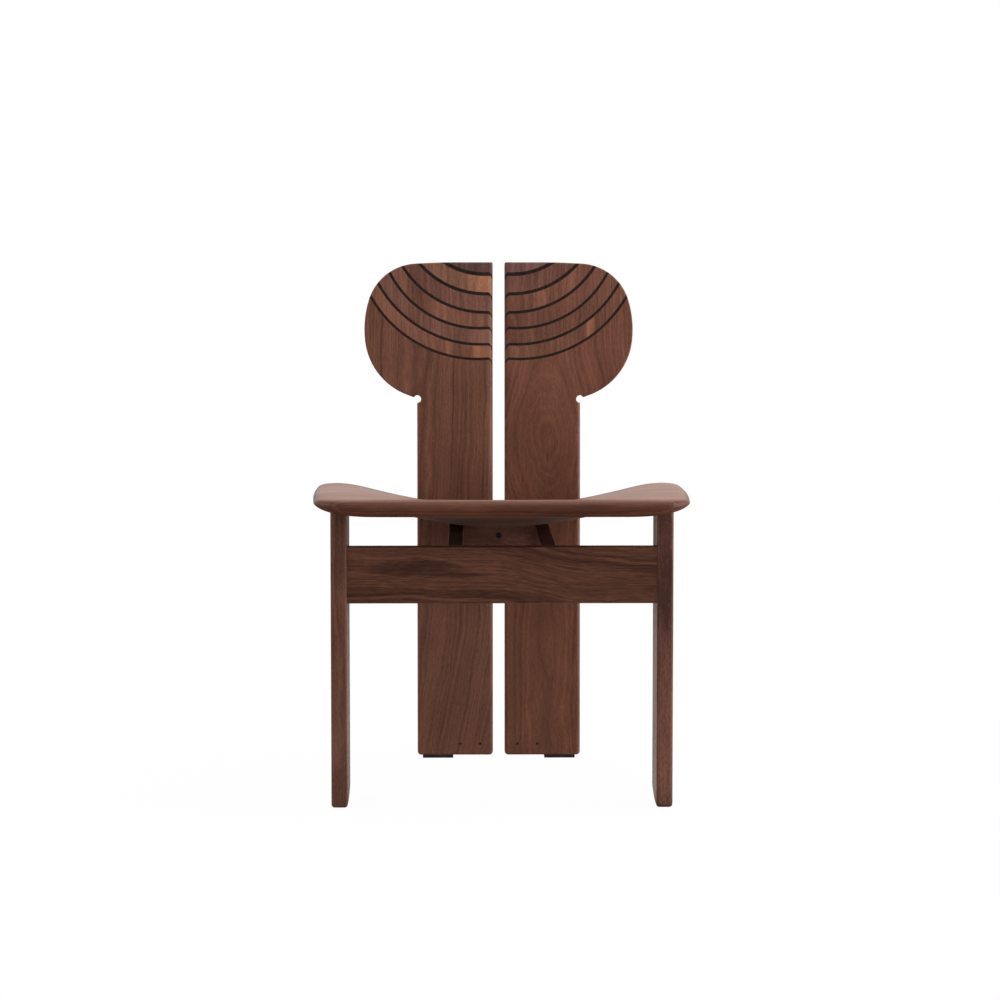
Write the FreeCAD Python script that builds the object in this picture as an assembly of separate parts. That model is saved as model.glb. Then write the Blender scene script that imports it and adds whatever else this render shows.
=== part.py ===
import FreeCAD, Part
import math
import os

# Walnut side chair. Two tall boards with rounded heads make a split back and
# stand on the floor themselves. Two slab legs and a crossbeam carry the front
# of a dished seat, and two rails join the crossbeam to the back boards.
# Six dark strips are let through each head, and part it into walnut bands.
# Millimetres. X runs across, Y from front to back, Z up from the floor.

V = FreeCAD.Vector

# Overall sizes
back_height = 792.7
back_lean = 2.0
leg_to_back = 450.0
seat_height = 449.0
seat_thickness = 25.4

# Back boards
board_gap = 18.8
board_width = 120.8
board_thickness = 28.0
head_half_width = 213.4
edge_round = 2.4
top_corner = 2.8
foot_corner = 6.0
relief_radius = 6.1
outer_easing = 5.6
inner_easing_foot = 4.0
inner_easing_head = 8.6
inner_easing_top = 4.0

# The head's outline is four arcs: crown, shoulder, side and underside. The first
# three have their radius as a share of head_half_width, and their turn in
# degrees. The underside's radius brings it to the straight neck at the board.
crown_start_share = 0.30
head_arc_shares = ((5.20, 3.6), (0.385, 69.7), (0.763, 22.8))
underside_turn = 64.0
neck_run = 14.8
relief_inset_share = 0.05
relief_drop_share = 0.16

# Dark strips, from the top down: centre across, low point below the top and
# radius as shares of head_half_width, and thickness as a share of
# strip_thickness. They fall to the rear as they pass through the board.
strip_thickness = 4.1
strip_slant = 60.0
strip_shares = (
    (0.104, 0.089, 0.547, 1.42),
    (0.097, 0.236, 0.650, 1.26),
    (0.099, 0.374, 0.728, 1.12),
    (0.141, 0.492, 0.753, 1.06),
    (0.132, 0.613, 0.873, 1.04),
    (0.155, 0.722, 0.920, 1.00),
)

# Seat: plan outline, edge and dish. The sides bow out to the wings, and the
# valley's shoulders stand wider apart towards the rear.
seat_wing_half = 285.0
seat_flare = 14.0
seat_wing_setback = 76.3
seat_tail_inset = 10.2
seat_corner = 50.0
seat_nose = 15.0
seat_back_gap = 1.0
seat_edge = 19.0
valley_depth = 42.8
valley_level = 39.3
shoulder_width_front = 131.0
shoulder_width_back = 45.0
shoulder_round = 8.0
wing_fall = 6.4
side_lift = 10.4
side_lift_width = 85.0

# The seat's valley: how its sides curve and spread, and how soon it and its
# shoulders reach their full depth, in powers and in shares of the depth
valley_curve = 1.8
valley_spread = 0.7
shoulder_run_share = 0.25
wing_run_share = 0.8

# Rings that the seat is lofted through
seat_ring_points = 64
rim_halvings = 40
nose_ring_turns = (10, 25, 40, 55, 70, 85)
corner_ring_shares = (0.55, 0.75)
side_bays = 10
wing_ring_shares = (0.0, 0.25, 0.45, 0.65, 0.8, 0.92)

# Front legs
leg_inset = 23.2
leg_thickness = 23.6
leg_depth = 105.0
leg_housing = 9.5
leg_toe = 8.0
leg_flat = 20.0
leg_heel_rise = 14.0
leg_round = 4.5

# Crossbeam, rails and rear crossmember. The rails rise at their back ends to
# shoulders that are let into the seat.
rail_housing = 6.2
beam_height = 82.3
beam_thickness = 24.0
beam_setback = 4.0
beam_round = 2.5
rail_spread = 157.0
rail_thickness = 22.0
rail_height = 44.0
rail_round = 1.6
rail_shoulder_rise = 8.0
rail_shoulder_run = 62.0
rail_shoulder_ramp = 8.0
crossmember_height = 36.0
crossmember_thickness = 24.0
crossmember_drop = 4.0
crossmember_round = 1.6

# Dowels, pegs, bolt and screws
dowel_diameter = 8.0
dowel_length = 32.0
dowel_fit = 0.1
dowel_end_room = 0.5
beam_dowel_bite = 14.0
beam_dowel_shares = (0.17, 0.50, 0.83)
rail_dowel_spacing = 26.0
crossmember_dowel_bite = 12.0
seat_dowel_bite = 9.0
seat_dowel_shares = (0.28, 0.72)
bolt_diameter = 6.0
bolt_length = 42.0
bolt_head = 8.4
bolt_head_height = 5.0
bolt_socket = 4.2
bolt_socket_depth = 2.5
bolt_recess = 3.0
bolt_hole = 9.4
peg_diameter = 4.0
peg_length = 14.0
peg_height = 18.0
peg_inset = 20.6
peg_spacing = 31.6
screw_fit = 0.1
seat_screw_diameter = 4.5
seat_screw_head = 9.0
seat_screw_head_height = 3.0
seat_screw_recess = 12.0
seat_screw_bite = 12.0
seat_screw_shares = (0.30, 0.72)
glide_thickness = 5.0
glide_width = 48.7
glide_outset = 8.4
glide_inset = 1.5
glide_screw_diameter = 3.0
glide_screw_head = 6.0
glide_screw_head_height = 2.0
glide_screw_length = 20.0
glide_screw_recess = 0.8
glide_screw_inset = 10.0

# How far a cutting solid runs past what it cuts
overrun = 20.0

# Places worked out from the sizes above
inner_x = board_gap / 2
outer_x = inner_x + board_width
slope = math.tan(math.radians(back_lean))
board_length = (back_height - glide_thickness) / math.cos(math.radians(back_lean))
seat_front_half = seat_wing_half - seat_flare
seat_tail = leg_to_back + (seat_height - seat_thickness - valley_depth) * slope - seat_back_gap
seat_tail_half = outer_x - seat_tail_inset
seat_wing_depth = seat_tail - seat_wing_setback
valley_front_half = seat_front_half - shoulder_width_front
valley_back_half = seat_wing_half - shoulder_width_back
valley_reach = seat_tail - valley_level
leg_outer = seat_front_half - leg_inset
leg_inner = leg_outer - leg_thickness
leg_top = seat_height - seat_thickness + leg_housing
belly = seat_height - wing_fall - valley_depth - seat_thickness
beam_top = belly + rail_housing
beam_bottom = beam_top - beam_height
beam_back = beam_setback + beam_thickness
rail_outer = rail_spread / 2
rail_inner = rail_outer - rail_thickness
rail_middle = (rail_outer + rail_inner) / 2
rail_bottom = beam_top - rail_height
rail_centre = beam_top - rail_height / 2
depth_middle = (leg_to_back + board_length * math.sin(math.radians(back_lean))
                + board_thickness * math.cos(math.radians(back_lean)) - seat_nose) / 2


def box(low, high):
    """A box from its lowest to its highest corner."""
    return Part.makeBox(high[0] - low[0], high[1] - low[1], high[2] - low[2], V(*low))


def rod(centre, axis, diameter, length):
    """A round rod given by its middle point."""
    axis = V(*axis)
    start = V(*centre) - axis * (length / 2)
    return Part.makeCylinder(diameter / 2, length, start, axis)


def both_sides(shape):
    """The shape and its mirror image across the middle of the chair."""
    return [shape, shape.mirror(V(0, 0, 0), V(1, 0, 0))]


def lean_back(shape):
    """Stand a solid that was drawn upright into the leaning plane of the back."""
    leaning = shape.copy()
    leaning.rotate(V(0, 0, 0), V(1, 0, 0), -back_lean)
    leaning.translate(V(0, leg_to_back, glide_thickness))
    return leaning


def along_back(height):
    """Length up the back boards that lies at this height above the floor."""
    return (height - glide_thickness) / math.cos(math.radians(back_lean))


def long_edges(shape, axis):
    """The straight edges that run along one axis."""
    chosen = []
    for edge in shape.Edges:
        first, last = edge.Vertexes[0].Point, edge.Vertexes[-1].Point
        if (last - first).normalize().getAngle(axis) % math.pi < math.radians(back_lean / 2):
            chosen.append(edge)
    return chosen


def dowel_holes(centre, axis, length):
    """The hole that a dowel is glued into."""
    return rod(centre, axis, dowel_diameter + 2 * dowel_fit, length + 2 * dowel_end_room)


def screw(base, axis, head, head_height, shank, length, play):
    """A countersunk screw from the middle of its head's face; play widens it to its hole."""
    axis = V(*axis)
    cone = Part.makeCone(head / 2 + play, shank / 2 + play, head_height, V(*base), axis)
    return cone.fuse(Part.makeCylinder(shank / 2 + play, length + play, V(*base), axis))


# Back boards

def turn_right(point, heading, radius, turn):
    """An arc that bends to the right, with the point and heading where it ends."""
    centre = (point[0] + radius * math.sin(heading), point[1] - radius * math.cos(heading))

    def on_arc(angle):
        return (centre[0] - radius * math.sin(angle), centre[1] + radius * math.cos(angle))

    middle = on_arc(heading - turn / 2)
    end = on_arc(heading - turn)
    arc = Part.Arc(flat(point), flat(middle), flat(end)).toShape()
    return arc, end, heading - turn


def flat(point):
    """A point of the front outline, across and up, in the upright back's plane."""
    return V(point[0], 0, point[1])


def straight(start, end):
    """A straight edge of the front outline."""
    return Part.makeLine(flat(start), flat(end))


def head_arcs():
    """The edges of the head from the middle of its top to the board's outer edge."""
    point = (crown_start_share * head_half_width, board_length)
    heading = 0
    edges = [straight((inner_x + top_corner, board_length), point)]
    for radius_share, turn in head_arc_shares:
        radius = radius_share * head_half_width
        arc, point, heading = turn_right(point, heading, radius, math.radians(turn))
        edges.append(arc)
    turn = math.radians(underside_turn)
    reach = point[0] - outer_x - neck_run
    radius = reach / (math.sin(heading - turn) - math.sin(heading))
    arc, point, heading = turn_right(point, heading, radius, turn)
    neck = (outer_x, point[1] - neck_run * math.tan(heading + math.pi))
    edges += [arc, straight(point, neck)]
    return edges, neck


def board_outline():
    """The closed front outline of the right board, and the corner under its head."""
    edges, neck = head_arcs()
    down, left, up = math.radians(-90), math.radians(-180), math.radians(-270)
    foot = (outer_x, foot_corner)
    edges.append(straight(neck, foot))
    outer_arc, point, heading = turn_right(foot, down, foot_corner, math.radians(90))
    across = (inner_x + foot_corner, 0)
    inner_arc, rise, heading = turn_right(across, left, foot_corner, math.radians(90))
    shoulder = (inner_x, board_length - top_corner)
    top_arc, point_top, heading = turn_right(shoulder, up, top_corner, math.radians(90))
    edges += [outer_arc, straight(point, across), inner_arc, straight(rise, shoulder), top_arc]
    return Part.Wire(edges), neck


def easing_section(corner_x, into_x, corner_y, into_y, height, radius):
    """Wire round the wood that a rounding of this radius takes off an upright edge."""
    far_x = corner_x + into_x * radius
    far_y = corner_y + into_y * radius
    past_x = corner_x - into_x * overrun
    past_y = corner_y - into_y * overrun
    bend = radius * math.cos(math.radians(45))
    middle = V(far_x - into_x * bend, far_y - into_y * bend, height)
    near, far = V(far_x, corner_y, height), V(corner_x, far_y, height)
    return Part.Wire([
        Part.makeLine(V(past_x, past_y, height), V(far_x, past_y, height)),
        Part.makeLine(V(far_x, past_y, height), near),
        Part.Arc(near, middle, far).toShape(),
        Part.makeLine(far, V(past_x, far_y, height)),
        Part.makeLine(V(past_x, far_y, height), V(past_x, past_y, height)),
    ])


def easing(corner_x, into_x, stations):
    """Cutters that round an upright edge of a board, front and back, by height."""
    cutters = []
    for corner_y, into_y in ((0, 1), (board_thickness, -1)):
        wires = [easing_section(corner_x, into_x, corner_y, into_y, height, radius)
                 for height, radius in stations]
        cutters.append(Part.makeLoft(wires, True, True))
    return cutters


def board_blank():
    """The whole right half of the back, upright, before the strips part it."""
    wire, neck = board_outline()
    blank = Part.Face(wire).extrude(V(0, board_thickness, 0))
    relief_x = neck[0] - relief_inset_share * relief_radius
    relief_z = neck[1] - relief_drop_share * relief_radius
    relief = rod((relief_x, board_thickness / 2, relief_z), (0, 1, 0),
                 2 * relief_radius, board_thickness + 2 * overrun)
    blank = blank.cut(relief)
    edges = []
    for edge in blank.Edges:
        spread = edge.BoundBox
        level = spread.YLength < edge_round / 2
        at_relief = (V(relief_x, spread.Center.y, relief_z)
                     - V(spread.Center.x, spread.Center.y, spread.Center.z)).Length < relief_radius
        if level and not at_relief:
            edges.append(edge)
    blank = blank.makeFillet(edge_round, edges)
    lowest = -overrun
    head_foot = relief_z
    head_top = board_length - strip_shares[1][1] * head_half_width
    for cutter in easing(inner_x, 1, ((lowest, inner_easing_foot), (head_foot, inner_easing_head),
                                      (head_top, inner_easing_head),
                                      (board_length + overrun, inner_easing_top))):
        blank = blank.cut(cutter)
    for cutter in easing(outer_x, -1, ((lowest, outer_easing), (relief_z, outer_easing))):
        blank = blank.cut(cutter)
    return blank


def disc_through(centre_x, centre_z, radius):
    """A slanting disc that passes through the board and holds all above one arc."""
    fall = math.tan(math.radians(strip_slant))
    middle = V(centre_x, -overrun, centre_z + overrun * fall)
    edge = Part.Circle(middle, V(0, 1, 0), radius).toShape()
    deep = board_thickness + 2 * overrun
    return Part.Face(Part.Wire([edge])).extrude(V(0, deep, -deep * fall))


def back_pieces():
    """The right board with its bands and strips, upright, by node name."""
    rest = board_blank()
    pieces = {}
    for number, shares in enumerate(strip_shares, start=1):
        across_share, drop_share, radius_share, thick_share = shares
        radius = radius_share * head_half_width
        half = thick_share * strip_thickness / 2
        centre_x = across_share * head_half_width
        centre_z = board_length - drop_share * head_half_width + radius
        upper = disc_through(centre_x, centre_z, radius - half)
        lower = disc_through(centre_x, centre_z, radius + half)
        pieces["back_band_%d" % number] = rest.common(upper)
        below = rest.cut(upper)
        pieces["dark_strip_%d" % number] = below.common(lower)
        rest = below.cut(lower)
    pieces["back_board"] = rest
    return pieces


# Seat

def side_bow(y):
    """How far the side stands out beyond its place at the front."""
    run = min(max(y / seat_wing_depth, 0), 1)
    return (seat_wing_half - seat_front_half) * (1 - (1 - run) ** 2)


def seat_core():
    """Corners of the plan outline without its bow, drawn in by the corner radius."""
    side = seat_front_half - seat_corner
    right = [(side, seat_corner - seat_nose), (side, seat_wing_depth),
             (seat_tail_half, seat_tail - seat_corner)]
    return right + [(-x, y) for x, y in reversed(right)]


def distance_outside(x, y, corners):
    """Distance from a point to a convex outline, zero inside it."""
    nearest = math.inf
    inside = True
    for index, start in enumerate(corners):
        end = corners[(index + 1) % len(corners)]
        side = (end[0] - start[0], end[1] - start[1])
        away = (x - start[0], y - start[1])
        if side[0] * away[1] - side[1] * away[0] < 0:
            inside = False
        along = (away[0] * side[0] + away[1] * side[1]) / (side[0] ** 2 + side[1] ** 2)
        along = min(max(along, 0), 1)
        nearest = min(nearest, math.hypot(away[0] - along * side[0], away[1] - along * side[1]))
    return 0 if inside else nearest


def rim_distance(x, y):
    """Distance in from the rim of the seat, and never more than the corner radius."""
    return seat_corner - distance_outside(abs(x) - side_bow(y), y, seat_core())


def rim_half(y):
    """Half the width of the seat at this depth, found by halving."""
    inner, outer = 0, seat_wing_half + seat_corner
    for step in range(rim_halvings):
        middle = (inner + outer) / 2
        if rim_distance(middle, y) > 0:
            inner = middle
        else:
            outer = middle
    return inner


def seat_top(x, y):
    """Height of the top face before its edge is rounded."""
    depth = min(max(y, 0), seat_tail)
    fall = math.sin(math.radians(90 * min(depth / valley_reach, 1)))
    run = depth / seat_tail
    half = valley_front_half + (valley_back_half - valley_front_half) * run ** valley_spread
    level = valley_depth * fall * (1 - (abs(x) / half) ** valley_curve)
    soft = shoulder_round * min(run / shoulder_run_share, 1)
    valley = (level + math.hypot(level, soft) - soft) / 2
    return seat_height - wing_fall * min(run / wing_run_share, 1) - valley


def seat_underside(x, y):
    """Height of the bottom face before its edge is rounded: it rises to the sides."""
    reach = min(max(abs(x) - seat_front_half + side_lift_width, 0), side_lift_width)
    return seat_top(x, y) - seat_thickness + side_lift * (reach / side_lift_width) ** 2


def seat_ring(y):
    """Closed curve round the seat where an upright plane across it cuts it."""
    half = rim_half(y)
    ring = []
    for step in range(seat_ring_points):
        turn = 2 * math.pi * step / seat_ring_points
        x = half * math.cos(turn)
        inward = min(max(rim_distance(x, y), 0) / seat_edge, 1)
        high, low = seat_top(x, y), seat_underside(x, y)
        rise = (high - low) / 2 * math.sqrt(1 - (1 - inward) ** 2)
        ring.append(V(x, y, (high + low) / 2 + math.copysign(rise, math.sin(turn))))
    curve = Part.BSplineCurve()
    places = [step / seat_ring_points for step in range(seat_ring_points + 1)]
    curve.interpolate(Points=ring, Parameters=places, PeriodicFlag=True)
    return Part.Wire([curve.toShape()])


def seat_blank():
    """The carved seat, lofted through rings from front to back."""
    nose = [seat_edge * (1 - math.cos(math.radians(turn))) for turn in nose_ring_turns]
    corner = [seat_corner * share for share in corner_ring_shares]
    front = seat_corner - seat_nose
    bay = (seat_wing_depth - front) / side_bays
    middle = [front + bay * step for step in range(1, side_bays)]
    turn_back = seat_tail - seat_wing_depth - seat_edge
    places = [depth - seat_nose for depth in nose + corner] + [front] + middle
    places += [seat_wing_depth + turn_back * share for share in wing_ring_shares]
    places += [seat_tail - depth for depth in reversed(nose)]
    return Part.makeLoft([seat_ring(y) for y in places], True, False)


# Front legs, crossbeam, rails and rear crossmember

def front_leg():
    """The right leg: a slab whose heel rises behind and whose edges are rounded."""
    heel_run = leg_depth - leg_flat
    heel_radius = (heel_run ** 2 + leg_heel_rise ** 2) / (2 * leg_heel_rise)
    heel_turn = math.asin(heel_run / heel_radius) / 2
    heel_middle = (leg_flat + heel_radius * math.sin(heel_turn),
                   heel_radius * (1 - math.cos(heel_turn)))
    corners = [(0, leg_top), (0, 0), (leg_flat, 0), (leg_depth, leg_heel_rise), (leg_depth, leg_top)]
    places = [V(leg_inner, y, z) for y, z in corners]
    heel = Part.Arc(places[2], V(leg_inner, *heel_middle), places[3]).toShape()
    outline = Part.Wire([
        Part.makeLine(places[0], places[1]),
        Part.makeLine(places[1], places[2]),
        heel,
        Part.makeLine(places[3], places[4]),
        Part.makeLine(places[4], places[0]),
    ])
    leg = Part.Face(outline).extrude(V(leg_thickness, 0, 0))
    ends = [edge for edge in long_edges(leg, V(1, 0, 0))
            if edge.BoundBox.ZMax < leg_top / 2 and abs(edge.BoundBox.YMin - leg_flat) > leg_toe / 2]
    leg = leg.makeFillet(leg_toe, ends)
    sides = [edge for edge in leg.Edges
             if edge.BoundBox.XLength < leg_round / 2 and edge.BoundBox.ZMin < leg_top - leg_round]
    return leg.makeFillet(leg_round, sides)


def crossbeam():
    """The beam between the front legs."""
    beam = box((-leg_inner, beam_setback, beam_bottom), (leg_inner, beam_back, beam_top))
    return beam.makeFillet(beam_round, long_edges(beam, V(1, 0, 0)))


def behind_back():
    """Everything behind the front faces of the back boards."""
    return lean_back(box((-seat_wing_half, 0, -overrun),
                         (seat_wing_half, leg_to_back, board_length + overrun)))


def side_rail():
    """The right rail, from the back of the beam to its board, with its raised shoulder."""
    end = leg_to_back + board_thickness + overrun
    raised = leg_to_back - rail_shoulder_run
    shoulder_top = beam_top + rail_shoulder_rise
    corners = [(beam_back, rail_bottom), (end, rail_bottom), (end, shoulder_top),
               (raised, shoulder_top), (raised - rail_shoulder_ramp, beam_top), (beam_back, beam_top)]
    places = [V(rail_inner, y, z) for y, z in corners]
    profile = Part.Face(Part.makePolygon(places + places[:1]))
    rail = profile.extrude(V(rail_thickness, 0, 0))
    sides = [edge for edge in rail.Edges
             if edge.BoundBox.XLength < rail_round and edge.BoundBox.YLength > rail_round]
    return rail.makeFillet(rail_round, sides).cut(behind_back())


def crossmember():
    """The short member between the rails, upright, flat on the fronts of both boards."""
    top = along_back(beam_top - crossmember_drop)
    member = box((-rail_inner, -crossmember_thickness, top - crossmember_height),
                 (rail_inner, 0, top))
    return member.makeFillet(crossmember_round, long_edges(member, V(1, 0, 0)))


def board_spacer():
    """The block, upright, that keeps the two boards apart behind the crossmember."""
    low = along_back(rail_bottom)
    return box((-inner_x, 0, low), (inner_x, board_thickness, low + rail_height))


def floor_glide():
    """The right glide: a pad under the outer part of the board, cut level with the floor."""
    outer = outer_x - glide_outset
    pad = lean_back(box((outer - glide_width, glide_inset, -glide_thickness - overrun),
                        (outer, board_thickness - glide_inset, 0)))
    under = box((-seat_wing_half, 0, -overrun - leg_to_back),
                (seat_wing_half, leg_to_back + board_thickness + overrun, 0))
    return pad.cut(under)


# Joints: each returns the fasteners and the holes that they need

def beam_dowels():
    """Dowels that pin the beam's ends to the legs."""
    x = leg_inner + beam_dowel_bite - dowel_length / 2
    y = beam_setback + beam_thickness / 2
    places = [(x, y, beam_bottom + share * beam_height) for share in beam_dowel_shares]
    pins = [rod(place, (1, 0, 0), dowel_diameter, dowel_length) for place in places]
    holes = [dowel_holes(place, (1, 0, 0), dowel_length) for place in places]
    return pins, holes


def rail_places(y):
    """The middles of the two dowels at one end of the right rail."""
    return [(rail_middle, y, rail_centre + side * rail_dowel_spacing / 2) for side in (-1, 1)]


def rail_front_dowels():
    """Dowels between the beam and the front end of the right rail."""
    places = rail_places(beam_back - beam_dowel_bite + dowel_length / 2)
    pins = [rod(place, (0, 1, 0), dowel_diameter, dowel_length) for place in places]
    holes = [dowel_holes(place, (0, 1, 0), dowel_length) for place in places]
    return pins, holes


def rail_back_dowels():
    """Dowels, square to the board, between it and the back end of the right rail."""
    pins, holes = [], []
    for x, y, z in rail_places(0):
        place = (x, 0, along_back(z))
        pins.append(lean_back(rod(place, (0, 1, 0), dowel_diameter, dowel_length)))
        holes.append(lean_back(dowel_holes(place, (0, 1, 0), dowel_length)))
    return pins, holes


def crossmember_dowels():
    """One dowel between the right rail and the end of the crossmember."""
    x = rail_inner + crossmember_dowel_bite - dowel_length / 2
    place = (x, -crossmember_thickness / 2, along_back(rail_centre))
    pin = lean_back(rod(place, (1, 0, 0), dowel_diameter, dowel_length))
    hole = lean_back(dowel_holes(place, (1, 0, 0), dowel_length))
    return [pin], [hole]


def seat_dowels():
    """Dowels that stand in the top of the right leg and hold the seat."""
    x = (leg_inner + leg_outer) / 2
    z = leg_top + seat_dowel_bite - dowel_length / 2
    places = [(x, share * leg_depth, z) for share in seat_dowel_shares]
    pins = [rod(place, (0, 0, 1), dowel_diameter, dowel_length) for place in places]
    holes = [dowel_holes(place, (0, 0, 1), dowel_length) for place in places]
    return pins, holes


def seat_screws():
    """Screws up through the right rail into the seat."""
    pins, holes = [], []
    length = rail_height + rail_shoulder_rise - seat_screw_recess + seat_screw_bite
    for share in seat_screw_shares:
        y = leg_to_back - rail_shoulder_run + share * rail_shoulder_run
        base = (rail_middle, y, rail_bottom + seat_screw_recess)
        pins.append(screw(base, (0, 0, 1), seat_screw_head, seat_screw_head_height,
                          seat_screw_diameter, length, 0))
        hole = screw(base, (0, 0, 1), seat_screw_head, seat_screw_head_height,
                     seat_screw_diameter, length, screw_fit)
        sink = Part.makeCylinder(seat_screw_head / 2 + screw_fit, seat_screw_recess + overrun,
                                 V(*base), V(0, 0, -1))
        holes.append(hole.fuse(sink))
    return pins, holes


def spacer_bolt():
    """The dark bolt through the middle of the crossmember into the spacer."""
    z = along_back(rail_centre)
    face = -crossmember_thickness
    seat_y = face + bolt_recess
    head = Part.makeCylinder(bolt_head / 2, bolt_head_height, V(0, seat_y, z), V(0, 1, 0))
    socket = Part.makeCylinder(bolt_socket / 2, bolt_socket_depth, V(0, seat_y, z), V(0, 1, 0))
    shank = Part.makeCylinder(bolt_diameter / 2, bolt_length, V(0, seat_y, z), V(0, 1, 0))
    bolt = head.fuse(shank).cut(socket)
    well = Part.makeCylinder(bolt_hole / 2, bolt_recess + bolt_head_height + overrun,
                             V(0, face - overrun, z), V(0, 1, 0))
    bore = Part.makeCylinder(bolt_diameter / 2 + screw_fit, bolt_length + dowel_end_room,
                             V(0, seat_y, z), V(0, 1, 0))
    return lean_back(bolt), lean_back(well.fuse(bore))


def foot_pegs():
    """Two small dark pegs, upright, in the front of the right board near its foot."""
    pins, holes = [], []
    for step in range(2):
        x = inner_x + peg_inset + step * peg_spacing
        place = (x, peg_length / 2, peg_height)
        pins.append(lean_back(rod(place, (0, 1, 0), peg_diameter, peg_length)))
        holes.append(lean_back(rod(place, (0, 1, 0), peg_diameter + 2 * dowel_fit,
                                   peg_length + 2 * dowel_fit)))
    return pins, holes


def glide_screws():
    """Two screws that hold the right glide, with their heads sunk above the floor."""
    pins, holes = [], []
    outer = outer_x - glide_outset
    lowest = glide_screw_recess - glide_thickness
    for x in (outer - glide_screw_inset, outer - glide_width + glide_screw_inset):
        base = (x, board_thickness / 2, lowest + board_thickness / 2 * slope)
        pins.append(lean_back(screw(base, (0, 0, 1), glide_screw_head, glide_screw_head_height,
                                    glide_screw_diameter, glide_screw_length, 0)))
        hole = screw(base, (0, 0, 1), glide_screw_head, glide_screw_head_height,
                     glide_screw_diameter, glide_screw_length, screw_fit)
        sink = Part.makeCylinder(glide_screw_head / 2 + screw_fit, overrun, V(*base), V(0, 0, -1))
        holes.append(lean_back(hole.fuse(sink)))
    return pins, holes


def bored(piece, holes):
    """The piece with its holes cut."""
    for hole in holes:
        piece = piece.cut(hole)
    return piece


def mirrored(shapes):
    """The shapes with their mirror images."""
    return [side for shape in shapes for side in both_sides(shape)]


def build():
    """Every piece of the chair by node name."""
    beam_pins, beam_holes = beam_dowels()
    front_pins, front_holes = rail_front_dowels()
    back_pins, back_holes = rail_back_dowels()
    member_pins, member_holes = crossmember_dowels()
    seat_pins, seat_holes = seat_dowels()
    screws, screw_holes = seat_screws()
    bolt, bolt_bore = spacer_bolt()
    pegs, peg_holes = foot_pegs()
    pad_screws, pad_holes = glide_screws()

    leg = front_leg()
    rail = side_rail()
    member = lean_back(crossmember())
    seat = bored(seat_blank(), mirrored([leg, rail]) + [member])
    seat = bored(seat, mirrored(seat_holes + screw_holes))
    sides = {
        "front_leg": bored(leg, beam_holes + seat_holes),
        "side_rail": bored(rail, front_holes + back_holes + member_holes + screw_holes),
        "floor_glide": bored(floor_glide(), pad_holes),
    }
    for name, piece in back_pieces().items():
        sides[name] = lean_back(piece)
    sides["back_board"] = bored(sides["back_board"], back_holes + peg_holes + pad_holes)

    pieces = {
        "seat": seat,
        "front_crossbeam": bored(crossbeam(), mirrored(beam_holes + front_holes)),
        "rear_crossmember": bored(member, mirrored(member_holes) + [bolt_bore]),
        "board_spacer": bored(lean_back(board_spacer()), [bolt_bore]),
        "spacer_bolt": bolt,
        "beam_dowels": Part.makeCompound(mirrored(beam_pins)),
        "rail_front_dowels": Part.makeCompound(mirrored(front_pins)),
        "rail_back_dowels": Part.makeCompound(mirrored(back_pins)),
        "crossmember_dowels": Part.makeCompound(mirrored(member_pins)),
        "seat_dowels": Part.makeCompound(mirrored(seat_pins)),
        "seat_screws": Part.makeCompound(mirrored(screws)),
        "foot_pegs": Part.makeCompound(mirrored(pegs)),
        "glide_screws": Part.makeCompound(mirrored(pad_screws)),
    }
    for name, piece in sides.items():
        right, left = both_sides(piece)
        pieces["right_" + name] = right
        pieces["left_" + name] = left
    return pieces


os.makedirs("parts", exist_ok=True)
for node, piece in build().items():
    piece.translate(V(0, -depth_middle, 0))
    piece.exportStep("parts/%s.step" % node)
    print(node, piece.ShapeType, len(piece.Solids), round(piece.Volume), piece.isValid())
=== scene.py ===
import bpy
import math
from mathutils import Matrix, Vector

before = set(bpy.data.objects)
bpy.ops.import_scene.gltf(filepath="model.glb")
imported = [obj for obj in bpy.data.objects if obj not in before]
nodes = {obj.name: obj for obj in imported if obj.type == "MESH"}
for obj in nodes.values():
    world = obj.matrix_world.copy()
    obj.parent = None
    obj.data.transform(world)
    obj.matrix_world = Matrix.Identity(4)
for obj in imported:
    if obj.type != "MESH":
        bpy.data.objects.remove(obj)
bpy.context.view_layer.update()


# Front legs. Two slabs of solid walnut, planed, rounded over along every edge and
# oiled. Their tops are housed in the seat and pinned with dowels, and the heel of
# each rises behind so that it stands on its toe.

MM = 0.001


def linear(hex_colour):
    """The linear RGBA that Blender wants for an sRGB hex colour."""
    channels = [int(hex_colour[i:i + 2], 16) / 255 for i in (1, 3, 5)]
    return [c / 12.92 if c <= 0.04045 else ((c + 0.055) / 1.055) ** 2.4 for c in channels] + [1]


def add_node(tree, kind, links=None, **settings):
    """Adds a node with its settings; each link is a value or another node's output."""
    node = tree.nodes.new("ShaderNode" + kind)
    for name, value in settings.items():
        setattr(node, name, value)
    for socket, source in (links or {}).items():
        if isinstance(source, bpy.types.NodeSocket):
            tree.links.new(source, node.inputs[socket])
        else:
            node.inputs[socket].default_value = source
    return node


def new_material(name):
    """An empty node material, and the tree to build it in."""
    material = bpy.data.materials.new(name)
    material.use_nodes = True
    tree = material.node_tree
    tree.nodes.clear()
    return material, tree


def fill_ramp(ramp, stops):
    """Gives a colour ramp its stops, each a place and a colour, and returns its output."""
    elements = ramp.color_ramp.elements
    while len(elements) < len(stops):
        elements.new(0.5)
    for element, (place, colour) in zip(elements, stops):
        element.position = place
        element.color = linear(colour)
    return ramp.outputs[0]


# Oiled walnut: warm brown heartwood with darker growth rings, fine upright fibres,
# short open pores, and the low sheen of rubbed oil that whitens only towards the rims.
WALNUT = "#744430"
PALE_WALNUT = "#A06A4E"
# Paler walnut painted on faces turned up as painted sheen, standing in for the white studio's
# glancing gloss and the overhead light.
PAINTED_SHEEN_WALNUT = "#A67861"
PORE_BROWN = "#1C0F0A"
RIM_LIGHT = "#FFDACB"

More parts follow.
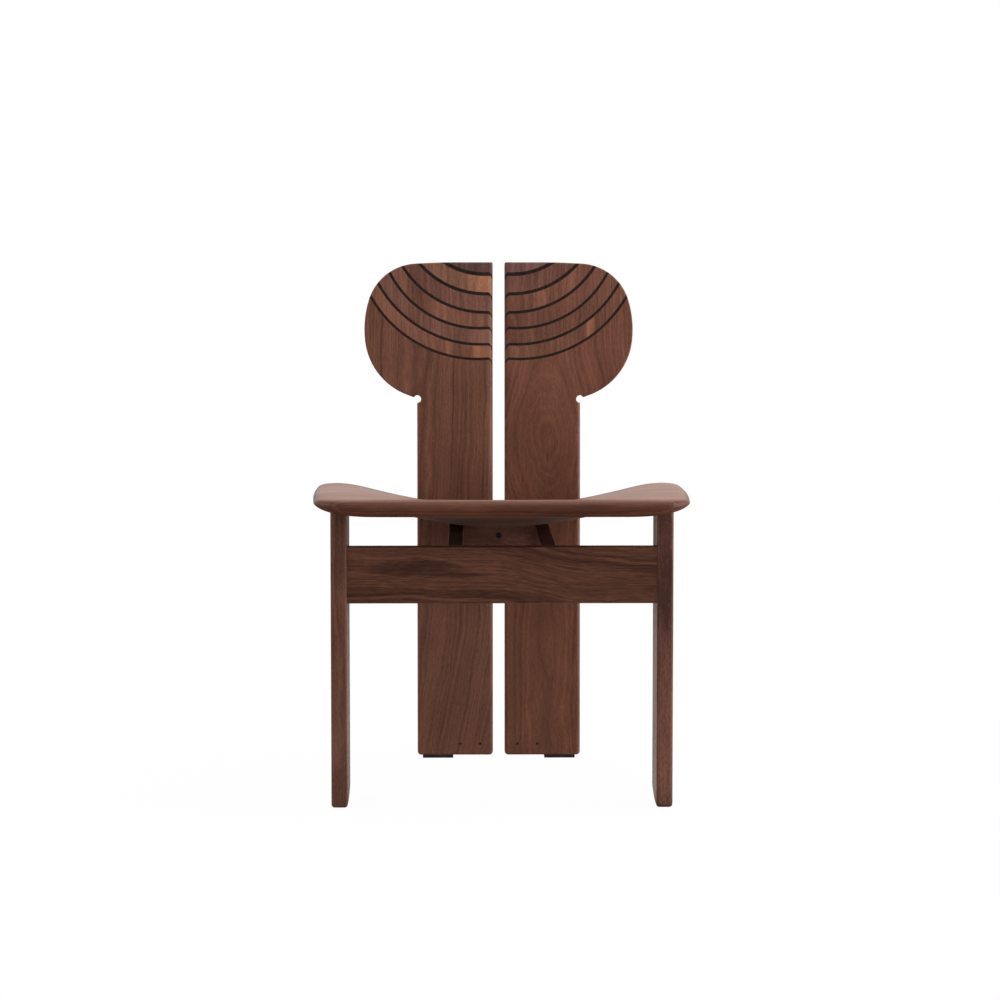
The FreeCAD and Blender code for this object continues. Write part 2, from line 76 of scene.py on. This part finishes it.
# Shades that the figure multiplies the tone by, from its dark rings to its light ones.
WALNUT_FIGURE = ((0.41, "#857A76"), (0.475, "#AFA7A3"), (0.515, "#C6C0BC"), (0.60, "#FAF5EE"))

# How the log is turned, in degrees, for grain that runs upright, from side to side,
# or from front to back.
GRAIN_UP = (0, 0, 0)
GRAIN_ACROSS = (0, 90, 0)
GRAIN_BACK = (-90, 0, 0)

# Widths of the broad zones and of the narrow lines that the rings make, in millimetres.
ZONE_WIDTH = 22
LINE_WIDTH = 4

# Width across the grain and length along it, in millimetres, of what bends the rings
# and of what lies in the wood. Fibres and pores are 0.3 mm wide, which would not show
# in the picture, so they are drawn 1 mm wide and more.
TRUNK_BENDS = (70, 380)
SHORT_WAVES = (26, 70)
RIPPLES = (9, 160)
CLOUDS = (60, 150)
STRANDS = (1.8, 60)
FLECKS = (1.2, 5)
PORES = (1.0, 14)
TORN_EDGES = (8, 40)

# How far the ripples move the rings, in millimetres.
RIPPLE_HEIGHT = 2.4

# How much each of them counts in the figure.
ZONE_WEIGHT = 0.12
CLOUD_WEIGHT = 0.24
LINE_WEIGHT = 0.16
STRAND_WEIGHT = 0.10
FLECK_WEIGHT = 0.16

# Half the width of a vein's core and of its whole, and the length of its tapered end,
# in millimetres.
VEIN_CORE = 0.2
VEIN_HALF = 1.6
VEIN_TAIL = 40

# How dark pores and veins are.
PORE_DEPTH = 0.30
VEIN_DEPTH = 0.35

# A pale streak starts to fade, and is gone, at these shares of its half width.
STREAK_FULL = 0.6
STREAK_GONE = 2.2


def oiled_walnut(name, heart, grain, tone=WALNUT, seed=0.0, swirl=18.0, waves=4.0,
                 knoll=(0, 100), sway=(0, 100, 0), veins=(), pale=(), broad=1.0, fine=1.0,
                 length=1.0, dull=0.0, painted_sheen=0.0, shine=0.10, rims=0.0):
    """Walnut cut from a log whose heart line passes through heart, in millimetres.

    grain turns the log. swirl and waves are how far its long bends and its short waves
    move the rings. knoll is the height and reach of a swelling round the heart point,
    which closes the rings into ovals on a board's face. sway is two places along the
    grain and how far the wood moves across from one to the other. veins are single
    darker rings, each by its distance from the heart line and the place where it
    ends. pale holds streaks of paler wood, each by its place across, half width and
    strength.
    broad and fine strengthen the wide zones and the narrow lines of the figure, and
    length draws its fibres out. dull is how much rougher the faces turned to the
    floor are, and painted_sheen how far painted sheen pales those turned up, standing
    in for the glancing gloss of the white studio and the overhead light on them.
    shine is the strength of the gloss, and rims that of the soft light which raised
    fibres catch at the edges. seed is a number of the piece's own, as no two are cut
    alike.
    """
    material, tree = new_material(name)
    place = add_node(tree, "TexCoord").outputs["Object"]
    log = add_node(tree, "Mapping", {
        "Vector": place, "Location": [value * MM for value in heart],
        "Rotation": [math.radians(turn) for turn in grain], "Scale": (MM, MM, MM),
    }, vector_type="TEXTURE").outputs[0]
    along = add_node(tree, "SeparateXYZ", {0: log}).outputs["Z"]
    moved = add_node(tree, "MapRange", {
        "Value": along, "From Min": sway[0], "From Max": sway[1], "To Min": 0, "To Max": sway[2],
    }, interpolation_type="SMOOTHSTEP").outputs[0]
    shift = add_node(tree, "CombineXYZ", {"X": moved}).outputs[0]
    log = add_node(tree, "VectorMath", {0: log, 1: shift}, operation="ADD").outputs[0]

    def fibres(size, detail, rough=0.5, stretch=1.0):
        """Noise drawn out along the grain, from a real width and length in millimetres."""
        width, reach = size
        drawn = add_node(tree, "VectorMath", {
            0: log, 1: (1 / width, 1 / width, 1 / (reach * stretch)),
            2: (seed, seed * 2, seed * 3),
        }, operation="MULTIPLY_ADD").outputs[0]
        return add_node(tree, "TexNoise", {
            "Vector": drawn, "Scale": 1, "Detail": detail, "Roughness": rough,
        }).outputs["Fac"]

    # The rings lie round the heart line, swell at the knoll, and wander with the trunk.
    spread = add_node(tree, "VectorMath", {0: log, 1: (1, 1, 0)}, operation="MULTIPLY").outputs[0]
    radius = add_node(tree, "VectorMath", {0: spread}, operation="LENGTH").outputs["Value"]
    beyond = add_node(tree, "Math", {0: along}, operation="ABSOLUTE").outputs[0]
    swell = add_node(tree, "MapRange", {
        "Value": beyond, "From Min": 0, "From Max": knoll[1], "To Min": 0, "To Max": knoll[0],
    }, interpolation_type="SMOOTHSTEP").outputs[0]
    rings = add_node(tree, "Math", {0: radius, 1: swell}, operation="ADD").outputs[0]
    for bend, height in ((TRUNK_BENDS, swirl), (SHORT_WAVES, waves), (RIPPLES, RIPPLE_HEIGHT)):
        rings = add_node(tree, "Math", {0: fibres(bend, 2), 1: height, 2: rings},
                         operation="MULTIPLY_ADD").outputs[0]

    def growth(width, detail):
        """Noise that changes from ring to ring, from a real width in millimetres."""
        count = add_node(tree, "Math", {0: rings, 1: 1 / width, 2: seed},
                         operation="MULTIPLY_ADD").outputs[0]
        return add_node(tree, "TexNoise", {"W": count, "Scale": 1, "Detail": detail},
                        noise_dimensions="1D").outputs["Fac"]

    # The figure is the sum of rings and fibres. Each lies about one half, and the sum
    # starts so that it does too.
    zones = growth(ZONE_WIDTH, 1)
    lines = growth(LINE_WIDTH, 2)
    clouds = fibres(CLOUDS, 2)
    strands = fibres(STRANDS, 2, 0.6, length)
    flecks = fibres(FLECKS, 2, 0.6, length)
    parts = ((zones, ZONE_WEIGHT * broad), (clouds, CLOUD_WEIGHT * broad),
             (lines, LINE_WEIGHT * fine), (strands, STRAND_WEIGHT * fine),
             (flecks, FLECK_WEIGHT * fine))
    figure = 0.5 - 0.5 * sum(weight for part, weight in parts)
    for part, weight in parts:
        figure = add_node(tree, "Math", {0: part, 1: weight, 2: figure},
                          operation="MULTIPLY_ADD").outputs[0]
    tints = fill_ramp(add_node(tree, "ValToRGB", {0: figure}), WALNUT_FIGURE)
    colour = add_node(tree, "MixRGB", {"Fac": 1.0, "Color1": tints, "Color2": linear(tone)},
                      blend_type="MULTIPLY").outputs[0]

    # Pale streaks have torn edges, and the dark rings still show through them.
    across = add_node(tree, "SeparateXYZ", {0: log}).outputs["X"]
    for centre, half, strength in pale:
        away = add_node(tree, "Math", {0: across, 1: centre}, operation="SUBTRACT").outputs[0]
        away = add_node(tree, "Math", {0: away}, operation="ABSOLUTE").outputs[0]
        away = add_node(tree, "Math", {0: fibres(TORN_EDGES, 3), 1: half, 2: away},
                        operation="MULTIPLY_ADD").outputs[0]
        streak = add_node(tree, "MapRange", {
            "Value": away, "From Min": half * STREAK_FULL, "From Max": half * STREAK_GONE,
            "To Min": strength, "To Max": 0,
        }, interpolation_type="SMOOTHSTEP").outputs[0]
        through = add_node(tree, "MapRange", {
            "Value": figure, "From Min": 0.40, "From Max": 0.60, "To Min": 0.4, "To Max": 1,
        }, interpolation_type="SMOOTHSTEP").outputs[0]
        streak = add_node(tree, "Math", {0: streak, 1: through}, operation="MULTIPLY").outputs[0]
        colour = add_node(tree, "MixRGB", {
            "Fac": streak, "Color1": colour, "Color2": linear(PALE_WALNUT)}).outputs[0]

    # Pores and veins are the darkest, and lie a little below the surface.
    pits = add_node(tree, "MapRange", {
        "Value": fibres(PORES, 1), "From Min": 0.58, "From Max": 0.72,
        "To Min": 0, "To Max": PORE_DEPTH,
    }, interpolation_type="SMOOTHSTEP").outputs[0]
    for distance, foot in veins:
        away = add_node(tree, "Math", {0: rings, 1: distance}, operation="SUBTRACT").outputs[0]
        away = add_node(tree, "Math", {0: away}, operation="ABSOLUTE").outputs[0]
        vein = add_node(tree, "MapRange", {
            "Value": away, "From Min": VEIN_CORE, "From Max": VEIN_HALF,
            "To Min": VEIN_DEPTH, "To Max": 0,
        }, interpolation_type="SMOOTHSTEP").outputs[0]
        taper = add_node(tree, "MapRange", {
            "Value": along, "From Min": foot - VEIN_TAIL, "From Max": foot,
            "To Min": 0, "To Max": 1,
        }, interpolation_type="SMOOTHSTEP").outputs[0]
        vein = add_node(tree, "Math", {0: vein, 1: taper}, operation="MULTIPLY").outputs[0]
        pits = add_node(tree, "Math", {0: pits, 1: vein}, operation="MAXIMUM").outputs[0]
    colour = add_node(tree, "MixRGB", {
        "Fac": pits, "Color1": colour, "Color2": linear(PORE_BROWN)}).outputs[0]

    # Painted sheen pales the faces turned up, standing in for the glancing gloss of the
    # white studio and the overhead light on them, and the oil is duller on those turned down.
    normal = add_node(tree, "NewGeometry").outputs["Normal"]
    facing = add_node(tree, "SeparateXYZ", {0: normal}).outputs["Z"]
    painted_sheen_share = add_node(tree, "MapRange", {
        "Value": facing, "From Min": 0.85, "From Max": 1.0, "To Min": 0, "To Max": painted_sheen,
    }, interpolation_type="SMOOTHSTEP").outputs[0]
    colour = add_node(tree, "MixRGB", {
        "Fac": painted_sheen_share, "Color1": colour, "Color2": linear(PAINTED_SHEEN_WALNUT)}).outputs[0]
    rubbed = add_node(tree, "MapRange", {
        "Value": figure, "From Min": 0.35, "From Max": 0.65, "To Min": 0.44, "To Max": 0.36,
    }, interpolation_type="SMOOTHSTEP").outputs[0]
    beneath = add_node(tree, "MapRange", {
        "Value": facing, "From Min": -0.5, "From Max": 0.1, "To Min": dull, "To Max": 0,
    }, interpolation_type="SMOOTHSTEP").outputs[0]
    gloss = add_node(tree, "Math", {0: rubbed, 1: beneath}, operation="ADD").outputs[0]
    height = add_node(tree, "Math", {0: pits, 1: -1.0, 2: strands},
                      operation="MULTIPLY_ADD").outputs[0]
    relief = add_node(tree, "Bump", {
        "Height": height, "Strength": 0.12, "Distance": 0.3 * MM}).outputs[0]
    surface = add_node(tree, "BsdfPrincipled", {
        "Base Color": colour, "Roughness": gloss, "IOR": 1.46, "Specular IOR Level": shine,
        "Sheen Weight": rims, "Sheen Roughness": 0.3, "Sheen Tint": linear(RIM_LIGHT),
        "Normal": relief,
    }).outputs[0]
    add_node(tree, "OutputMaterial", {"Surface": surface})
    return material


def dress(node, material):
    """Gives a piece its finish in place of the plain one that it comes with."""
    for slot in nodes[node].material_slots:
        slot.material = material


dress("left_front_leg", oiled_walnut(
    "oiled_walnut_left_leg", heart=(-225, -150, 150), grain=GRAIN_UP, tone="#69473A",
    seed=3.1, fine=1.2, rims=0.22))
dress("right_front_leg", oiled_walnut(
    "oiled_walnut_right_leg", heart=(228, -140, 250), grain=GRAIN_UP, tone="#714C41",
    seed=7.7, fine=1.6, rims=0.22))


# Front crossbeam. A deep walnut board on edge between the legs, with its grain
# running across and its long edges softened. Three dowels pin each end to a leg.
# A slant in the wood carries its dark streaks down to the right of the middle.

dress("front_crossbeam", oiled_walnut(
    "oiled_walnut_crossbeam", heart=(-60, -150, 345), grain=GRAIN_ACROSS, tone="#5C3A2C",
    seed=8.2, sway=(45, 190, -24), length=3.5, broad=0.35, fine=1.7))


# Side rails. Two walnut bars that run back under the seat from the crossbeam to
# the back boards. They are let into the seat at the rear, and screwed to it.

RAIL_ACROSS = 67
RAIL_SEED = 7.444
for side, sign in (("left", -1), ("right", 1)):
    dress(side + "_side_rail", oiled_walnut(
        "oiled_walnut_%s_rail" % side, heart=(sign * RAIL_ACROSS, 0, 300), grain=GRAIN_BACK,
        tone="#6E4C44", seed=sign * RAIL_SEED))


# Rear crossmember and spacer. A short walnut bar joins the rails in front of the
# boards, and a small block behind it keeps the two boards apart. One bolt of
# blackened steel, sunk in a round hole, holds all three.

dress("rear_crossmember", oiled_walnut(
    "oiled_walnut_crossmember", heart=(0, 240, 350), grain=GRAIN_ACROSS, tone="#875D50",
    seed=4.4))
dress("board_spacer", oiled_walnut(
    "oiled_walnut_spacer", heart=(0, 240, 300), grain=GRAIN_UP, seed=6.3))

# A lathe leaves rings round a shank 0.1 mm apart. They are drawn coarser to show: their
# pitch, and how far each runs before it changes, in millimetres.
TURNED_PITCH = 0.625
TURNED_RUN = 4


def turned_metal(name, shades, roughness, metallic):
    """Steel turned on a lathe: fine rings round the shank that break up its gloss."""
    material, tree = new_material(name)
    place = add_node(tree, "TexCoord").outputs["Object"]
    run = 1 / (TURNED_RUN * MM)
    drawn = add_node(tree, "VectorMath", {0: place, 1: (run, run, 1 / (TURNED_PITCH * MM))},
                     operation="MULTIPLY").outputs[0]
    marks = add_node(tree, "TexNoise", {"Vector": drawn, "Scale": 1, "Detail": 3}).outputs["Fac"]
    colour = fill_ramp(add_node(tree, "ValToRGB", {0: marks}),
                       ((0.35, shades[0]), (0.65, shades[1])))
    gloss = add_node(tree, "MapRange", {
        "Value": marks, "To Min": roughness - 0.1, "To Max": roughness + 0.1}).outputs[0]
    relief = add_node(tree, "Bump", {
        "Height": marks, "Strength": 0.2, "Distance": 0.05 * MM}).outputs[0]
    surface = add_node(tree, "BsdfPrincipled", {
        "Base Color": colour, "Roughness": gloss, "Metallic": metallic, "Normal": relief,
    }).outputs[0]
    add_node(tree, "OutputMaterial", {"Surface": surface})
    return material


# Blackened steel is a dark oxide skin over the metal, so it is nearly matt and black.
dress("spacer_bolt", turned_metal("blackened_steel", ("#0E0D0C", "#1C1A19"), 0.45, 0.6))


# Back boards. Two tall walnut boards with their grain upright stand on the floor
# and lean back a little. Each is one plank from its foot to the lowest dark strip.

# The grain leans with the boards, in degrees.
BACK_LEAN = -2
dress("left_back_board", oiled_walnut(
    "oiled_walnut_left_board", heart=(-130, 262, 600), grain=(BACK_LEAN, 1.5, 0),
    tone="#815848", seed=1.3, sway=(-340, -800, 53), waves=10.0, veins=((85, -120),),
    broad=0.5, fine=0.8, rims=0.15))
dress("right_back_board", oiled_walnut(
    "oiled_walnut_right_board", heart=(79, 262, 513), grain=(BACK_LEAN, 0, 0),
    tone="#815544", seed=2.6, knoll=(24, 150), waves=8.0, broad=0.6, fine=0.7, rims=0.15))


# Bands of the head. Six pieces of walnut on each side, cut from other planks, so
# each has a tone and a figure of its own. They are glued between the dark strips.

# Each band's log lies a step further back than that of the band above, in millimetres,
# and has its own seed.
BAND_STEP = 9
BAND_SEED = 1.7
RIGHT_SEED = 3.3
# Side, number from the top, tone, and pale streaks.
BANDS = (
    ("left", 1, "#71564F", ()),
    ("left", 2, "#936A57", ((-23, 14, 0.85),)),
    ("left", 3, "#81594E", ()),
    ("left", 4, "#885E4E", ()),
    ("left", 5, "#865E51", ()),
    ("left", 6, "#8D6251", ((-30, 14, 0.5), (-81, 6, 0.4), (-180, 14, 0.3))),
    ("right", 1, "#856058", ()),
    ("right", 2, "#80584D", ()),
    ("right", 3, "#885C4C", ()),
    ("right", 4, "#7E5446", ()),
    ("right", 5, "#845A4A", ()),
    ("right", 6, "#835A4A", ((146, 7, 0.9),)),
)
for side, number, tone, pale in BANDS:
    name = "%s_back_band_%d" % (side, number)
    seed = number * BAND_SEED + (RIGHT_SEED if side == "right" else 0)
    dress(name, oiled_walnut(
        "oiled_walnut_" + name, heart=(0, 280 + BAND_STEP * number, 700),
        grain=(BACK_LEAN, math.sin(seed), 0), tone=tone, seed=seed, pale=pale,
        waves=10.0, broad=0.6, fine=0.8, rims=0.15))


# Dark strips and pegs. Thin strips of ebony glued between the bands, oiled with
# them, slope down to the rear. Two ebony pegs plug each board near its foot.

# Ebony's streaks, in millimetres across the grain and along it.
EBONY_WIDTH = 2.5
EBONY_LENGTH = 16.67


def oiled_ebony(name):
    """Ebony under the same oil: nearly black, close-grained, with a faint brown streak."""
    material, tree = new_material(name)
    place = add_node(tree, "TexCoord").outputs["Object"]
    close = 1 / (EBONY_WIDTH * MM)
    drawn = add_node(tree, "VectorMath", {0: place, 1: (close, close, 1 / (EBONY_LENGTH * MM))},
                     operation="MULTIPLY").outputs[0]
    streaks = add_node(tree, "TexNoise", {"Vector": drawn, "Scale": 1, "Detail": 3}).outputs["Fac"]
    colour = fill_ramp(add_node(tree, "ValToRGB", {0: streaks}),
                       ((0.35, "#140D0A"), (0.65, "#241A15")))
    gloss = add_node(tree, "MapRange", {
        "Value": streaks, "To Min": 0.36, "To Max": 0.46}).outputs[0]
    surface = add_node(tree, "BsdfPrincipled", {
        "Base Color": colour, "Roughness": gloss, "IOR": 1.5, "Specular IOR Level": 0.08,
    }).outputs[0]
    add_node(tree, "OutputMaterial", {"Surface": surface})
    return material


ebony = oiled_ebony("oiled_ebony")
for number in range(1, 7):
    for side in ("left", "right"):
        dress("%s_dark_strip_%d" % (side, number), ebony)
dress("foot_pegs", ebony)


# Floor glides. A pad of black nylon under each board, cut level with the floor, and
# held by two countersunk screws of zinc-plated steel. Two more of these screws go up
# through each rail into the seat.

# Sawn and moulded nylon has a fine even tooth of some 0.5 mm, and scuffs to dark grey
# in patches of about 11 mm.
TOOTH = 0.5
SCUFF = 11.11
glide_nylon, tree = new_material("moulded_black_nylon")
place = add_node(tree, "TexCoord").outputs["Object"]
tooth = add_node(tree, "TexNoise", {
    "Vector": place, "Scale": 1 / (TOOTH * MM), "Detail": 2}).outputs["Fac"]
scuffs = add_node(tree, "TexNoise", {
    "Vector": place, "Scale": 1 / (SCUFF * MM), "Detail": 4}).outputs["Fac"]
colour = fill_ramp(add_node(tree, "ValToRGB", {0: scuffs}), ((0.4, "#14110F"), (0.75, "#2A2522")))
relief = add_node(tree, "Bump", {
    "Height": tooth, "Strength": 0.3, "Distance": 0.1 * MM}).outputs[0]
surface = add_node(tree, "BsdfPrincipled", {
    "Base Color": colour, "Roughness": 0.6, "IOR": 1.53, "Specular IOR Level": 0.2,
    "Normal": relief,
}).outputs[0]
add_node(tree, "OutputMaterial", {"Surface": surface})
for side in ("left", "right"):
    dress(side + "_floor_glide", glide_nylon)

# Zinc plate is a bright bluish grey with a satin gloss.
zinc_steel = turned_metal("zinc_plated_steel", ("#9A9C9E", "#B8BABC"), 0.35, 1.0)
dress("glide_screws", zinc_steel)
dress("seat_screws", zinc_steel)


# Dowels. Turned pins of pale beech, glued into bored holes across every joint of the
# legs, beam, rails, crossmember and seat. They are hidden once the chair is together.

# Beech is pale and pinkish, with short darker ray flecks some 2 mm long.
RAY_FLECK = 2
beech, tree = new_material("turned_beech")
place = add_node(tree, "TexCoord").outputs["Object"]
rays = add_node(tree, "TexNoise", {
    "Vector": place, "Scale": 1 / (RAY_FLECK * MM), "Detail": 3}).outputs["Fac"]
colour = fill_ramp(add_node(tree, "ValToRGB", {0: rays}), ((0.4, "#B98F66"), (0.6, "#D2AC82")))
relief = add_node(tree, "Bump", {
    "Height": rays, "Strength": 0.2, "Distance": 0.1 * MM}).outputs[0]
surface = add_node(tree, "BsdfPrincipled", {
    "Base Color": colour, "Roughness": 0.6, "IOR": 1.5, "Normal": relief}).outputs[0]
add_node(tree, "OutputMaterial", {"Surface": surface})
for joint in ("beam", "rail_front", "rail_back", "crossmember", "seat"):
    dress(joint + "_dowels", beech)


# Seat. Carved from walnut planks glued edge to edge with their grain across. The
# dish deepens to the rear, and the underside is lifted towards the sides.

# The seat's top faces carry painted sheen: paler walnut that stands in for the glancing gloss and
# the overhead light on them.
dress("seat", oiled_walnut(
    "oiled_walnut_seat", heart=(40, -40, 340), grain=GRAIN_ACROSS, tone="#643C2D",
    seed=9.4, swirl=28.0, broad=0.9, fine=0.9, length=2.5, dull=0.5, painted_sheen=0.3, shine=0.12))


# Floor. A plain matt white studio sweep under the chair. The camera sees it nearly
# white, with the chair's shadow faint on it; the chair sees its true shade.

FLOOR_HALF = 12
# Within the first distance, in metres, the camera sees this share of plain white, and
# beyond the second distance nothing else.
SHADOW_NEAR = 0.45
SHADOW_FAR = 1.1
WHITE_SHARE = 0.975
floor_mesh = bpy.data.meshes.new("floor")
corners = [(-FLOOR_HALF, -FLOOR_HALF, 0), (FLOOR_HALF, -FLOOR_HALF, 0),
           (FLOOR_HALF, FLOOR_HALF, 0), (-FLOOR_HALF, FLOOR_HALF, 0)]
floor_mesh.from_pydata(corners, [], [(0, 1, 2, 3)])
floor = bpy.data.objects.new("floor", floor_mesh)
bpy.context.scene.collection.objects.link(floor)
material, tree = new_material("matt_white_floor")
rays = add_node(tree, "LightPath").outputs
pale_paint = add_node(tree, "BsdfDiffuse", {"Color": linear("#D2CFCC")}).outputs[0]
white = add_node(tree, "Emission", {"Color": (1, 1, 1, 1), "Strength": 1}).outputs[0]
place = add_node(tree, "TexCoord").outputs["Object"]
distance = add_node(tree, "VectorMath", {0: place}, operation="LENGTH").outputs["Value"]
share = add_node(tree, "MapRange", {
    "Value": distance, "From Min": SHADOW_NEAR, "From Max": SHADOW_FAR,
    "To Min": WHITE_SHARE, "To Max": 1.0,
}, interpolation_type="SMOOTHSTEP").outputs[0]
factor = add_node(tree, "Math", {0: rays["Is Camera Ray"], 1: share},
                  operation="MULTIPLY").outputs[0]
surface = add_node(tree, "MixShader", {0: factor, 1: pale_paint, 2: white}).outputs[0]
add_node(tree, "OutputMaterial", {"Surface": surface})
floor_mesh.materials.append(material)


# Studio. White all round where the camera or a polished surface looks, and a
# dimmer even light from it on the wood.

EVEN_LIGHT = 0.75
world = bpy.data.worlds.new("studio")
bpy.context.scene.world = world
world.use_nodes = True
tree = world.node_tree
tree.nodes.clear()
rays = add_node(tree, "LightPath").outputs
seen = add_node(tree, "Math", {0: rays["Is Camera Ray"], 1: rays["Is Glossy Ray"]},
                operation="MAXIMUM").outputs[0]
seen = add_node(tree, "Math", {0: seen, 1: rays["Is Transmission Ray"]},
                operation="MAXIMUM").outputs[0]
dim = add_node(tree, "Background", {"Color": (1, 1, 1, 1), "Strength": EVEN_LIGHT}).outputs[0]
white = add_node(tree, "Background", {"Color": (1, 1, 1, 1), "Strength": 1}).outputs[0]
mixed = add_node(tree, "MixShader", {0: seen, 1: dim, 2: white}).outputs[0]
add_node(tree, "OutputWorld", {"Surface": mixed})


# Lamps. Soft boxes high on both sides and overhead, a low one from the right, and
# two weak ones in front. All are aimed at the middle of the chair.

# Name, place and width in metres, and power in watts.
LAMPS = (
    ("right_high", (2.6, 0.0, 2.2), 1.6, 72),
    ("left_high", (-2.6, 0.0, 2.2), 1.6, 34),
    ("overhead", (0.5, 0.3, 3.2), 2.6, 50),
    ("right_low", (3.0, -0.3, 0.40), 0.9, 68),
    ("right_front", (1.8, -3.4, 0.8), 1.4, 12),
    ("left_front", (-2.4, -2.4, 0.9), 1.8, 12),
)
AIM = Vector((0, 0, 0.4))
for name, place, size, power in LAMPS:
    lamp = bpy.data.lights.new(name, "AREA")
    lamp.size = size
    lamp.energy = power
    holder = bpy.data.objects.new(name, lamp)
    holder.location = place
    holder.rotation_mode = "QUATERNION"
    holder.rotation_quaternion = (AIM - Vector(place)).to_track_quat("-Z", "Y")
    bpy.context.scene.collection.objects.link(holder)


# Camera. It stands level with the head of the chair, a little left of the middle,
# and looks slightly down.

# Place in metres, turns in degrees, and lens and sensor in millimetres.
EYE = (-0.0499, -4.4693, 0.7669)
LOOK_DOWN = 4.308
LOOK_RIGHT = 0.635
LENS = 105.89
SENSOR_WIDTH = 36
camera = bpy.data.cameras.new("camera")
camera.sensor_width = SENSOR_WIDTH
camera.lens = LENS
holder = bpy.data.objects.new("camera", camera)
holder.location = EYE
holder.rotation_euler = (math.radians(90 - LOOK_DOWN), 0, math.radians(-LOOK_RIGHT))
bpy.context.scene.collection.objects.link(holder)
bpy.context.scene.camera = holder
bpy.context.scene.view_settings.view_transform = "Standard"
